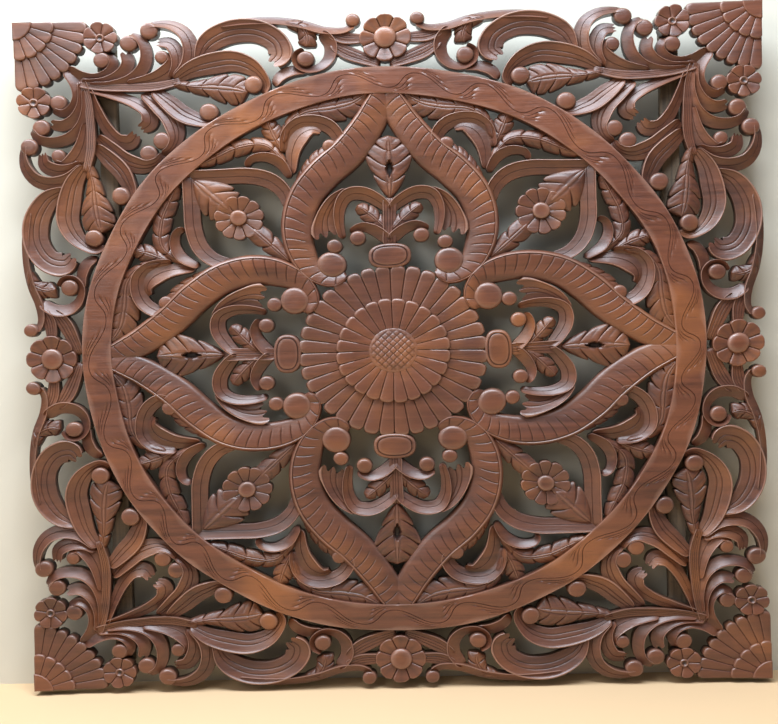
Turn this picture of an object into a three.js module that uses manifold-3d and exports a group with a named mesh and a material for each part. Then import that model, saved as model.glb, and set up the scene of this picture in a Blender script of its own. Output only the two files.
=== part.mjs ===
// Carved and pierced wall panel: one board of solid wood, cut through between its scrolls and
// leaves, with two plain battens behind it.
//
// Millimetres, +Z up, the carved face looks along -Y and the board's flat back is the plane y = 0.
// The pattern is drawn in its own units, a hundredth of the half side: u to the right, v up, 0 at
// the middle, and 100 at the edge. One eighth of it is drawn and then turned and mirrored.

import * as THREE from 'three';
import { mergeVertices } from 'three/addons/utils/BufferGeometryUtils.js';
import Module from 'manifold-3d';

// ---- driving dimensions, mm ----
const WIDTH = 1200;
const HEIGHT = 1086;
const BOARD = 30;             // board thickness, back to the highest carving
const BATTEN_WIDTH = 30;
const BATTEN_DEPTH = 20;
const BATTEN_GAP = 0.3;       // clearance between the board's back and a batten
const BATTEN_CENTRE = 456;    // from the middle of the panel to the middle of a batten
const BATTEN_LENGTH = 1010;

// ---- relief, in fifths of the board's thickness from the flat back ----
const DEPTH_UNITS = 5;
const RELIEF = {
  ring: 4.7, band: 4.4, frame: 4, bar: 4.2, crest: 4.5, hollow: 2.8,
  leafEdge: 2.8, leafRib: 3.9, beadRim: 3.1, beadTop: 4.3,
};
const NOTCH = 0.7;            // how far a leaf's edge draws in between two lobes
const PETAL_NOTCH = { radius: 0.93, depth: 0.5 };
const BUTTON_TOP = 0.5;       // the flat top of a bead or button, as a share of its radius

// ---- how fine the facets are ----
const TURN_PER_FACET = THREE.MathUtils.degToRad(26);
const CURVE_SAMPLES = 60;
const RING_FACETS = 40;
const BEAD_FACETS = 9;
const WELD = 0.15;            // pattern units, steps smaller than this are closed up after a join
const LEAFWORK_TRIANGLES = 5700;
const THINNING_PASS = 16;     // facets go in passes of about one for each this many vertices
const LEAST_TURN = 0.35;      // cosine of the most that a facet may tip when it is thinned
const FACE_SHARE = 0.4;       // how much a miss on a carved face counts beside one on a wall
const LEAST_FACET = 1;        // twice the smallest facet that thinning leaves, square mm

// ---- round features in pattern units: `rim` is the height at the edge, `middle` at the centre ----
const RING = { inner: 76, outer: 84 };
const BAR = { v: 28.3, halfWidth: 5.7, halfHeight: 3.7 };
const ROSETTE = {
  outer: { count: 36, radius: 25.6, rim: 3.8, middle: 4 },
  inner: { count: 24, radius: 15.5, rim: 4.6, middle: 4.2 },
  button: { radius: 6.5, rim: 4.5, middle: 5, facets: 12 },
};
const FLOWER = {
  centre: 40.5,
  petals: { count: 11, radius: 6.8, rim: 3.4, middle: 3.2 },
  button: { radius: 2.4, rim: 3.8, middle: 4.1, facets: 6 },
};
const EDGE_ROSETTE = {
  v: 92.5,
  petals: { count: 8, radius: 7, rim: 4.3, middle: 3.9 },
  button: { radius: 3.2, rim: 4.6, middle: 5, facets: 8 },
};
const SMALL_FLOWER = { u: 76.6, v: 95, count: 8, radius: 4.8, rim: 4, middle: 4.3 };
const FAN = {
  outer: { count: 9, radius: 20, rim: 3.7, middle: 4 },
  inner: { count: 5, radius: 11.2, rim: 4.5, middle: 4.4 },
  button: { count: 2, radius: 5.2, rim: 4.9, middle: 5 },
};

// Carved strokes of one eighth, each along its guide points [u, v, width]. A scroll says on which
// side its crest runs (1 left, -1 right), and which bead [u, v, radius] it curls round. A leaf has
// its rib in the middle, and says how many lobes it has.
const STROKES = {
  ogeeBand: { crest: 1, bead: [15.8, 26.2, 4], top: RELIEF.band, guide: [[1.6, 73.4, 7.6],
    [4.75, 67.6, 8.6], [11, 59.2, 9.6], [17.6, 52.8, 9.8], [22.6, 46, 9.4], [24.8, 38, 9],
    [24, 30.2, 8.2], [21, 24.2, 6.2], [15.8, 21.4, 4.2], [12, 23.2, 2.8]] },
  flowerFrame: { crest: 1, top: RELIEF.frame, guide: [[26.6, 43, 3.4], [28.4, 48, 4.2],
    [32, 51.4, 4.6], [37.5, 53.1, 4.6], [44.5, 53.3, 4.5], [54, 53.3, 4.5]] },
  ringLeaf: { lobes: 4, guide: [[28.3, 62, 2], [26.9, 67.5, 3.4], [22.5, 71.2, 5.4], [15, 72.2, 8.4],
    [9.5, 73.4, 6.8], [4.6, 76.4, 2]] },
  spandrelScroll: { crest: -1, bead: [15.8, 61, 2.1], guide: [[28.3, 59.5, 2], [27.3, 65, 2.8],
    [24, 68.2, 3.6], [19.5, 68.4, 4], [15.5, 66.6, 4], [13.3, 63.2, 3.6], [14, 60.5, 2.4]] },
  spandrelHook: { crest: 1, guide: [[26, 53, 2], [25.6, 60, 4.2], [23.6, 64.3, 5], [20.5, 66, 3],
    [18.2, 65.2, 1.5]] },
  bandLeaf: { lobes: 2, guide: [[25, 50, 2], [21.5, 55, 4], [18, 58.6, 4], [15.8, 59.6, 2]] },
  uprightLeaf: { lobes: 2, guide: [[28.5, 60, 2], [30.8, 65, 5.5], [32.3, 69.6, 1.8]] },
  spandrelLeaf: { lobes: 3, guide: [[27.5, 56, 2], [33, 61.8, 4.5], [40, 61.6, 5], [46, 59.2, 4],
    [51, 56.8, 1.5]] },
  acanthusCurl: { crest: 1, guide: [[26.5, 52, 2], [29.5, 56.6, 3], [33.5, 58.4, 2.6], [37, 57.6, 2],
    [38, 55.6, 1.5]] },
  palmetteLoop: { crest: 1, bead: [14.8, 31.8, 2.1], guide: [[0, 41.8, 2.6], [2.8, 44.6, 3.6],
    [7, 47, 4], [11, 46.6, 3.8], [13, 43.4, 3.2], [13.4, 39, 2.6], [12.6, 34, 2]] },
  palmetteHorn: { crest: 1, guide: [[10.8, 48, 2.4], [14.6, 45, 3.6], [17, 40.6, 4.8],
    [17.4, 36.6, 6.6], [16.8, 34.4, 7.4]] },
  palmetteLeaf: { lobes: 1, guide: [[0.6, 36, 3], [4.5, 40, 5], [8.6, 43.6, 2]] },
  palmetteCurl: { crest: 1, bead: [8.6, 34, 2.2], guide: [[0, 32.6, 3.4], [4, 36, 3.2],
    [7.5, 37.2, 2.6], [10.6, 35.8, 2]] },
  heartLoop: { crest: 1, guide: [[80, 80, 2], [74, 78, 2.6], [68, 75.4, 3.4], [64.4, 72.4, 4],
    [64, 69.4, 4.6], [66.4, 67.6, 3]] },
  ringCurl: { crest: 1, bead: [60.5, 64.2, 2.5], guide: [[66, 78, 2.4], [61.8, 74.6, 4.6],
    [58.6, 71.2, 5.2], [57, 67.6, 5], [56.8, 64.4, 3.6], [58.4, 61.4, 2.6], [60.6, 60.2, 2]] },
  lowCurl: { crest: 1, bead: [48, 72.3, 2.6], guide: [[63, 78.8, 3], [58.6, 75, 5], [55.2, 72, 5.2],
    [52, 70.4, 4.6], [49, 69.3, 3], [46.4, 70.2, 2]] },
  stem: { lobes: 2, guide: [[83, 82.5, 3.4], [77, 80.6, 2.6], [70, 79.8, 2.4], [62, 79.9, 2.6],
    [55, 81.6, 2]] },
  oakLeaf: { lobes: 4, guide: [[58, 80.8, 2], [51.5, 79.8, 4.6], [46, 79.6, 9], [41, 79, 8],
    [37.3, 78, 2]] },
  longCurl: { crest: -1, bead: [35.7, 80.2, 2.6], guide: [[57, 81.8, 2.5], [52, 85, 4.8],
    [46.5, 86.6, 6], [41, 87.2, 5.8], [36.6, 85.6, 5], [33.6, 82.8, 3.6], [32.2, 79.8, 2.6],
    [33.2, 77.3, 2]] },
  crestLeaf: { crest: -1, guide: [[50.5, 87, 2], [47.4, 92.4, 5.6], [41, 95.7, 6.8], [34, 95.6, 6.6],
    [29, 92.4, 6.6], [28, 88.4, 7], [30.5, 86, 4.5]] },
  topBand: { crest: 1, bead: [8.6, 98, 2], guide: [[44, 97.6, 2], [37, 98.6, 2.4], [29, 98.6, 2.4],
    [22, 97.4, 2.6], [16, 95.4, 2.6], [11, 95.2, 2.2], [8.2, 96.6, 2]] },
  tongue: { lobes: 2, guide: [[27, 98, 2.4], [22, 96.4, 4.6], [20.6, 93.4, 5], [21, 90.6, 2]] },
  wrapCurl: { crest: -1, bead: [21.2, 87, 2.4], guide: [[17, 95, 3], [14.6, 91, 3.6], [15, 87, 3.4],
    [17.5, 84.4, 2.8], [21.2, 83.8, 2.2], [23.8, 85.8, 1.8], [23.8, 88.4, 1.5], [21.6, 90, 1.3]] },
  upperLobe: { lobes: 1, guide: [[15, 94.4, 2.6], [11, 92.8, 3.6], [5, 92.4, 2.6]] },
  lowerLobe: { lobes: 1, guide: [[14.6, 91.4, 2.2], [10.5, 88.6, 4.2], [5.5, 86.4, 3.6],
    [1.2, 84.8, 2.6]] },
  ringHug: { crest: -1, guide: [[21, 83.2, 1.6], [25, 83.6, 3.4], [28.2, 82.2, 3.4], [30, 79.6, 2.4]] },
  cornerCurl: { crest: -1, bead: [76.4, 88.4, 2.4], guide: [[86, 86.2, 3.2], [81.6, 83.8, 2.8],
    [78, 83.2, 2.6], [74.8, 84.6, 2.4], [73.2, 87.4, 2.2], [74.4, 90.2, 1.8]] },
  cornerTongue: { crest: -1, guide: [[82, 82.2, 1.6], [76, 81.9, 2.6], [71.7, 83.8, 3],
    [69.5, 87, 3.3], [70, 90.6, 3]] },
  middleCurl: { crest: -1, bead: [69, 93.2, 2.5], guide: [[80, 81.2, 1.6], [74, 80.9, 2.2],
    [68.6, 82.5, 2.8], [65.3, 86, 3.2], [64.5, 90.5, 3], [65.8, 94.3, 2.6], [68.6, 96, 1.8]] },
  outerCurl: { crest: -1, bead: [63.4, 96.7, 2.5], guide: [[57, 82, 2.4], [53, 86.4, 4.2],
    [52.2, 91, 4.2], [53.6, 95.3, 4], [57, 97.9, 3.4], [61, 98.6, 2.4], [64.4, 98, 1.6]] },
  innerCurl: { crest: -1, bead: [60.4, 92.8, 2.1], guide: [[58, 82.4, 1.6], [55.9, 86, 2],
    [55.6, 90, 2.4], [57.2, 93.4, 2.6], [59.6, 94.6, 2]] },
  lowInnerCurl: { crest: -1, bead: [60.3, 88.7, 2], guide: [[70, 80.9, 1.6], [63, 82.2, 3.6],
    [58.8, 84.6, 4.4], [57.3, 87.6, 3], [58.8, 90.2, 1.6]] },
};

// Leaves on the upright axis, and on the diagonal.
const AXIS_LEAVES = [
  { lobes: 3, guide: [[0, 45.4, 4.6], [0, 50, 9.6], [0, 54.5, 13], [0, 59, 8.6], [0, 64, 1.8]] },
  { lobes: 1, guide: [[0, 31, 4], [0, 38, 3.6], [0, 46, 4]] },
];
const DIAGONAL_LEAVES = [
  { lobes: 1, guide: [[27, 27, 3], [31.5, 31.5, 6], [37, 37, 5]] },
  { lobes: 1, guide: [[52.5, 52.5, 9], [48, 48, 12], [43, 43, 7]] },
];

const wasm = await Module();
wasm.setup();

// ---- meshes and solids ----

// A closed mesh from rings of points: every ring has the same number of corners and neighbours
// are joined by quads. The ends are closed by fans, or the last ring joins the first.
function loft(rings, closed = false) {
  const corners = rings[0].length;
  const index = [];
  const steps = closed ? rings.length : rings.length - 1;
  for (let i = 0; i < steps; i += 1) {
    const next = ((i + 1) % rings.length) * corners;
    for (let j = 0; j < corners; j += 1) {
      const k = (j + 1) % corners;
      index.push(i * corners + j, i * corners + k, next + k, i * corners + j, next + k, next + j);
    }
  }
  const last = (rings.length - 1) * corners;
  for (let j = 1; !closed && j + 1 < corners; j += 1) {
    index.push(0, j + 1, j, last, last + j, last + j + 1);
  }
  const geometry = new THREE.BufferGeometry();
  geometry.setAttribute('position', new THREE.Float32BufferAttribute(rings.flat(2), 3));
  geometry.setIndex(index);
  return geometry;
}

// Six times the signed volume: negative where the faces point inwards.
function signedVolume({ attributes: { position }, index }) {
  const corner = (i) => new THREE.Vector3().fromBufferAttribute(position, index.getX(i));
  let sum = 0;
  for (let i = 0; i < index.count; i += 3) sum += corner(i).dot(corner(i + 1).cross(corner(i + 2)));
  return sum;
}

function toSolid(geometry) {
  const merged = mergeVertices(geometry, 1e-4);
  const triVerts = new Uint32Array(merged.index.array);
  if (signedVolume(merged) < 0) triVerts.reverse();
  const vertProperties = new Float32Array(merged.attributes.position.array);
  return new wasm.Manifold(new wasm.Mesh({ numProp: 3, vertProperties, triVerts }));
}

function toGeometry(solid) {
  const mesh = solid.getMesh();
  const geometry = new THREE.BufferGeometry();
  geometry.setAttribute('position', new THREE.BufferAttribute(mesh.vertProperties, 3));
  geometry.setIndex(new THREE.BufferAttribute(mesh.triVerts, 1));
  return geometry;
}

// Thins a closed mesh to about `target` triangles. A vertex moves onto the neighbour that misses
// least the planes which first met at it, and the two triangles between them go. A vertex on the
// flat back stays on the flat back.
function thinned(solid, target) {
  const mesh = solid.getMesh();
  const points = [];
  for (let i = 0; i < mesh.vertProperties.length; i += 3) {
    points.push(new THREE.Vector3().fromArray(mesh.vertProperties, i));
  }
  let faces = [];
  for (let i = 0; i < mesh.triVerts.length; i += 3) faces.push([...mesh.triVerts.subarray(i, i + 3)]);

  const normalOf = ([a, b, c]) => new THREE.Vector3().subVectors(points[b], points[a])
    .cross(new THREE.Vector3().subVectors(points[c], points[a]));
  const planes = points.map(() => []);
  for (const face of faces) {
    const normal = normalOf(face).normalize();
    const plane = { normal, offset: -normal.dot(points[face[0]]) };
    face.forEach((v) => planes[v].push(plane));
  }
  const miss = (list, point) => Math.max(...list.map(({ normal, offset }) => (
    Math.abs(normal.dot(point) + offset) * (Math.abs(normal.y) > 0.5 ? FACE_SHARE : 1))));
  const onBack = points.map((point) => Math.abs(point.y) < 1e-6);

  let finished = false;
  while (faces.length > target && !finished) {
    const fans = points.map(() => []);
    faces.forEach((face) => face.forEach((v) => fans[v].push(face)));
    const around = fans.map((fan) => new Set(fan.flat()));
    const moves = points.flatMap((_, v) => [...around[v]]
      .filter((w) => w !== v && (onBack[w] || !onBack[v]))
      .map((w) => ({ v, w, cost: miss(planes[v], points[w]) }))
      .sort((a, b) => a.cost - b.cost).slice(0, 1));
    moves.sort((a, b) => a.cost - b.cost);

    const settled = new Set();
    let left = faces.length;
    const leastLeft = Math.max(target, left - Math.ceil(moves.length / THINNING_PASS));
    for (const { v, w } of moves) {
      const both = [...around[v], ...around[w]];
      const shared = [...around[v]].filter((x) => x !== v && x !== w && around[w].has(x));
      if (left <= leastLeft || shared.length !== 2 || both.some((x) => settled.has(x))) continue;
      const kept = fans[v].filter((face) => !face.includes(w));
      const spoiled = kept.some((face) => {
        const before = normalOf(face);
        const after = normalOf(face.map((x) => (x === v ? w : x)));
        const tipped = after.dot(before) < LEAST_TURN * after.length() * before.length();
        return tipped || after.length() < LEAST_FACET;
      });
      if (spoiled) continue;
      fans[v].filter((face) => face.includes(w)).forEach((face) => { face.length = 0; });
      kept.forEach((face) => { face[face.indexOf(v)] = w; });
      planes[w] = [...planes[w], ...planes[v]];
      both.forEach((x) => settled.add(x));
      left -= 2;
    }
    finished = left === faces.length;
    faces = faces.filter((face) => face.length);
  }
  const used = [...new Set(faces.flat())];
  const renumbered = new Map(used.map((v, i) => [v, i]));
  const vertProperties = new Float32Array(used.flatMap((v) => points[v].toArray()));
  const triVerts = new Uint32Array(faces.flat().map((v) => renumbered.get(v)));
  return new wasm.Manifold(new wasm.Mesh({ numProp: 3, vertProperties, triVerts }));
}

// ---- curves ----

// A smooth run through guide points whose third number is the width.
function carvedRun(guide) {
  const points = guide.map((p) => new THREE.Vector3(...p));
  return new THREE.CatmullRomCurve3(points, false, 'centripetal');
}

// Parameters along a run, closer together where it turns.
function stationsByTurn(run) {
  const stations = [0];
  let turned = 0;
  let before = run.getTangent(0);
  for (let i = 1; i < CURVE_SAMPLES; i += 1) {
    const now = run.getTangent(i / CURVE_SAMPLES);
    const [cross, dot] = [before.x * now.y - before.y * now.x, before.x * now.x + before.y * now.y];
    turned += Math.atan2(Math.abs(cross), dot);
    before = now;
    if (turned > TURN_PER_FACET) {
      stations.push(i / CURVE_SAMPLES);
      turned = 0;
    }
  }
  return [...stations, 1];
}

// The two edges and the middle of a run at parameter t; `share` narrows it.
function edgesAt(run, t, share = 1) {
  const p = run.getPoint(t);
  const tangent = run.getTangent(t);
  const reach = ((p.z / 2) * share) / Math.hypot(tangent.x, tangent.y);
  const [nu, nv] = [-tangent.y * reach, tangent.x * reach];
  return { left: [p.x + nu, p.y + nv], right: [p.x - nu, p.y - nv], middle: [p.x, p.y] };
}

// ---- carved forms in pattern units: [u, v, depth] ----

// A scroll or band: the crest runs along one edge and the face falls to the other.
function scroll({ guide, crest, top = RELIEF.crest }) {
  const run = carvedRun(guide);
  const leftTop = crest > 0 ? top : RELIEF.hollow;
  const rightTop = crest > 0 ? RELIEF.hollow : top;
  return loft(stationsByTurn(run).map((t) => {
    const { left, right } = edgesAt(run, t);
    return [[...left, 0], [...left, leftTop], [...right, rightTop], [...right, 0]];
  }));
}

// A leaf: the edge swells at each lobe, and the rib stands up along the middle.
function leaf({ guide, lobes }) {
  const run = carvedRun(guide);
  const steps = 2 * lobes;
  const rings = [];
  for (let i = 0; i <= steps; i += 1) {
    const notch = i % 2 === 0 && i > 0 && i < steps;
    const { left, right, middle } = edgesAt(run, i / steps, notch ? NOTCH : 1);
    const edge = RELIEF.leafEdge;
    rings.push([[...left, 0], [...left, edge], [...middle, RELIEF.leafRib], [...right, edge], [...right, 0]]);
  }
  return loft(rings);
}

// A round button at (u, v): its side stands up to the rim and slopes on to a smaller flat top.
function button(u, v, { radius, rim, middle, facets }) {
  return loft([[radius, 0], [radius, rim], [radius * BUTTON_TOP, middle]].map(([reach, depth]) => {
    const ring = [];
    for (let i = 0; i < facets; i += 1) {
      const angle = (i / facets) * Math.PI * 2;
      ring.push([u + Math.cos(angle) * reach, v + Math.sin(angle) * reach, depth]);
    }
    return ring;
  }));
}

function bead([u, v, radius]) {
  return button(u, v, { radius, rim: RELIEF.beadRim, middle: RELIEF.beadTop, facets: BEAD_FACETS });
}

// Petals round (u, v): the rim dips in and down between two petals, and the tops meet in a point
// under the button. `from` and `sweep` take part of the circle, closed at its middle.
function petals({ u, v, count, radius, rim, middle, from = 0, sweep = Math.PI * 2 }) {
  const whole = sweep === Math.PI * 2;
  const foot = [];
  const edge = [];
  for (let i = 0; i < count * 2 + (whole ? 0 : 1); i += 1) {
    const angle = from + (i / (count * 2)) * sweep;
    const tip = i % 2 === 1;
    const reach = radius * (tip ? 1 : PETAL_NOTCH.radius);
    const at = [u + Math.cos(angle) * reach, v + Math.sin(angle) * reach];
    foot.push([...at, 0]);
    edge.push([...at, rim - (tip ? 0 : PETAL_NOTCH.depth)]);
  }
  if (!whole) {
    foot.push([u, v, 0]);
    edge.push([u, v, middle]);
  }
  const crown = edge.map(() => [u, v, middle]);
  return loft([foot, edge, crown]);
}

// The plain ring, square in section.
function ring({ inner, outer }) {
  const profile = [[inner, 0], [outer, 0], [outer, RELIEF.ring], [inner, RELIEF.ring]];
  const rings = [];
  for (let i = 0; i < RING_FACETS; i += 1) {
    const angle = (i / RING_FACETS) * Math.PI * 2;
    rings.push(profile.map(([radius, depth]) => [Math.cos(angle) * radius, Math.sin(angle) * radius, depth]));
  }
  return loft(rings, true);
}

function box({ v, halfWidth, halfHeight }, depth) {
  const corners = [[-1, -1], [1, -1], [1, 1], [-1, 1]];
  return loft([0, depth].map((d) => corners.map(([su, sv]) => [su * halfWidth, v + sv * halfHeight, d])));
}

// ---- the eighth, the quarter and the whole ----

// One of the eight places of the pattern: quarter turns, mirrored or not, and stretched to size.
function placed(geometry, quarter, mirrored) {
  const copy = geometry.clone();
  const { position } = copy.attributes;
  for (let i = 0; i < position.count; i += 1) {
    let [u, v] = [position.getX(i) * (mirrored ? -1 : 1), position.getY(i)];
    for (let turn = 0; turn < quarter; turn += 1) [u, v] = [-v, u];
    position.setXYZ(i, u * (WIDTH / 200), position.getZ(i) * (-BOARD / DEPTH_UNITS), v * (HEIGHT / 200));
  }
  return toSolid(copy);
}

const once = (geometry) => placed(geometry, 0, false);
const fourTimes = (geometry) => [0, 1, 2, 3].map((quarter) => placed(geometry, quarter, false));
const eightTimes = (geometry) => [false, true]
  .flatMap((mirrored) => [0, 1, 2, 3].map((quarter) => placed(geometry, quarter, mirrored)));
const join = (solids, weld) => wasm.Manifold.union(solids).asOriginal().simplify(weld);

function foliage() {
  const forms = Object.values(STROKES).flatMap((stroke) => [
    stroke.lobes ? leaf(stroke) : scroll(stroke),
    ...(stroke.bead ? [bead(stroke.bead)] : []),
  ]);
  return toGeometry(join(forms.map(toSolid), WELD));
}

function carvedBoard() {
  const { centre } = FLOWER;
  const middle = { u: 0, v: 0 };
  const edge = { u: 0, v: EDGE_ROSETTE.v };
  const corner = { u: 100, v: 100, from: Math.PI, sweep: Math.PI / 2 };
  const weld = WELD * (WIDTH / 200);
  const leafwork = thinned(join([
    ...eightTimes(foliage()),
    ...AXIS_LEAVES.flatMap((form) => fourTimes(leaf(form))),
    ...DIAGONAL_LEAVES.flatMap((form) => fourTimes(leaf(form))),
  ], weld), LEAFWORK_TRIANGLES);
  return join([
    leafwork,
    once(ring(RING)),
    once(petals({ ...middle, ...ROSETTE.outer })),
    once(petals({ ...middle, ...ROSETTE.inner })),
    once(button(0, 0, ROSETTE.button)),
    ...fourTimes(box(BAR, RELIEF.bar)),
    ...fourTimes(petals({ u: centre, v: centre, ...FLOWER.petals })),
    ...fourTimes(button(centre, centre, FLOWER.button)),
    ...fourTimes(petals({ ...edge, ...EDGE_ROSETTE.petals })),
    ...fourTimes(button(0, EDGE_ROSETTE.v, EDGE_ROSETTE.button)),
    ...eightTimes(petals(SMALL_FLOWER)),
    ...[FAN.outer, FAN.inner, FAN.button].flatMap((row) => fourTimes(petals({ ...corner, ...row }))),
  ], weld);
}

// ---- the panel ----

const stainedWood = new THREE.MeshStandardMaterial({ color: 0x6e4132, roughness: 0.5, metalness: 0 });
const battenWood = new THREE.MeshStandardMaterial({ color: 0x5a4636, roughness: 0.7, metalness: 0 });

const panel = new THREE.Group();

const carved = new THREE.Mesh(toGeometry(carvedBoard()), stainedWood);
carved.name = 'carved_board';
panel.add(carved);

for (const [name, side] of [['batten_left', -1], ['batten_right', 1]]) {
  const batten = new THREE.Mesh(new THREE.BoxGeometry(BATTEN_WIDTH, BATTEN_DEPTH, BATTEN_LENGTH), battenWood);
  batten.position.set(side * BATTEN_CENTRE, BATTEN_GAP + BATTEN_DEPTH / 2, 0);
  batten.name = name;
  panel.add(batten);
}

export default panel;
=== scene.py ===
"""A carved and pierced wall panel of stained hardwood, with two plain battens behind it.

Metres, +Z up, and the carved face looks along -Y. The pattern is drawn in its own units: u to the
right and v up in hundredths of the half side, and depth in fifths of the board's thickness from
its flat back. One eighth of it is drawn, then turned and mirrored.
"""

import bpy
import math
import numpy as np
from mathutils import Matrix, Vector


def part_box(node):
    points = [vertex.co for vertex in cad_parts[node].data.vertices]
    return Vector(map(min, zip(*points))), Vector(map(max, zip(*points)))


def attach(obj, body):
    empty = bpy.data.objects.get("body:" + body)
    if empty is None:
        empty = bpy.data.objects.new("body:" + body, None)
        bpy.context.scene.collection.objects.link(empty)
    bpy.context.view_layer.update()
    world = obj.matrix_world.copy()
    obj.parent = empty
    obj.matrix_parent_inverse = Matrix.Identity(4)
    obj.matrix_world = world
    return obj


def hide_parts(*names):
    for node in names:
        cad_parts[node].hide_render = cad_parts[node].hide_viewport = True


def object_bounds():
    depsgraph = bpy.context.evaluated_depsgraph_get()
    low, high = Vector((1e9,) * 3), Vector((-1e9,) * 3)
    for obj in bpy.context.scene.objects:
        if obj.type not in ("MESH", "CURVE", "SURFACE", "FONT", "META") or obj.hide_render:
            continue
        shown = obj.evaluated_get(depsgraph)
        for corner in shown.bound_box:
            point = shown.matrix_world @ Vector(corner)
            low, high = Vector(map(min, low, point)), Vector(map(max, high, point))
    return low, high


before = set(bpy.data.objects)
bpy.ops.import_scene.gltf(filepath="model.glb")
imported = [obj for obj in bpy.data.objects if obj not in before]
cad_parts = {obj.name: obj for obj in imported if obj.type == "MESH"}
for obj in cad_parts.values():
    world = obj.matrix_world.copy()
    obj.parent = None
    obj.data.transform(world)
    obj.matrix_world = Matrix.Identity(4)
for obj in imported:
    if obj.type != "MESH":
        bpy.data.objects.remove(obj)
CAD_BOX = [list(corner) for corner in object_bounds()]

# ---- the board that the frame gives, and the pattern's units on it ----
BOARD_LOW, BOARD_HIGH = (np.array(corner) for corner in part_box("carved_board"))
PATTERN_SPAN, DEPTH_SPAN = 200, 5
UNIT = (BOARD_HIGH - BOARD_LOW) / (PATTERN_SPAN, DEPTH_SPAN, PATTERN_SPAN)
MIDDLE = (BOARD_LOW + BOARD_HIGH) / 2
FLAT_BACK = BOARD_HIGH[1]

ONE_PLACE = [(0, False)]
FOUR_PLACES = [(quarter, False) for quarter in range(4)]
EIGHT_PLACES = [(quarter, mirrored) for mirrored in (False, True) for quarter in range(4)]

# ---- relief, in depth units ----
RING_TOP = 4.7
BAND_TOP, BAND_INNER = 4.5, 3.5
FRAME_TOP = 4.1
CREST, HOLLOW = 4.5, 2.8
LEAF_EDGE, LEAF_RIB = 2.9, 3.95
BEAD_RIM, BEAD_TOP = 3.3, 4.4

# ---- the carver's hand: how far the real pattern strays from the drawn one ----
WANDER = 0.0011
WANDER_DEPTH = 0.0004

# ---- round features, pattern units ----
RING_INNER, RING_OUTER, RING_WAVES = 76.0, 84.0, 26
ROSETTE_OUTER, ROSETTE_INNER, ROSETTE_DOME = 25.6, 15.5, 6.5
BAR_V, BAR_HALF_WIDTH, BAR_HALF_HEIGHT = 28.3, 5.9, 3.7
FLOWER_CENTRE, FLOWER_RADIUS = 40.5, 6.8
EDGE_ROSETTE_V, EDGE_ROSETTE_RADIUS = 92.5, 7.0
SMALL_FLOWER_AT, SMALL_FLOWER_RADIUS = (76.6, 95.0), 4.8
FAN_OUTER, FAN_INNER, FAN_BUTTON = 20.0, 11.2, 5.2

# ---- the carved strokes of one eighth: guide points (u, v, width) ----
# A scroll says on which side its crest runs (1 left, -1 right) and which bead (u, v, radius) it
# curls round. Some give their own rim and hollow heights, fine lines, or tips at a flared end.
# A leaf has its rib in the middle and says how many lobes it has. Its slit is sunk along the rib,
# between two shares of the leaf's length.
LINED = dict(crest=1, top=4.1, hollow=3.5, lines=(-0.3, 0.1, 0.5))

OGEE_GUIDE = [(-2.4, 80.2, 7.4), (1.6, 73.4, 7.6), (4.75, 67.6, 8.6), (11, 59.2, 9.6),
              (17.6, 52.8, 9.8), (22.6, 46, 9.4), (24.8, 38, 9), (24, 30.2, 8.2), (21, 24.2, 6.2),
              (15.8, 21.4, 4.2), (12, 23.2, 2.8)]
OGEE_BEAD = (15.8, 26.2, 4)

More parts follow.
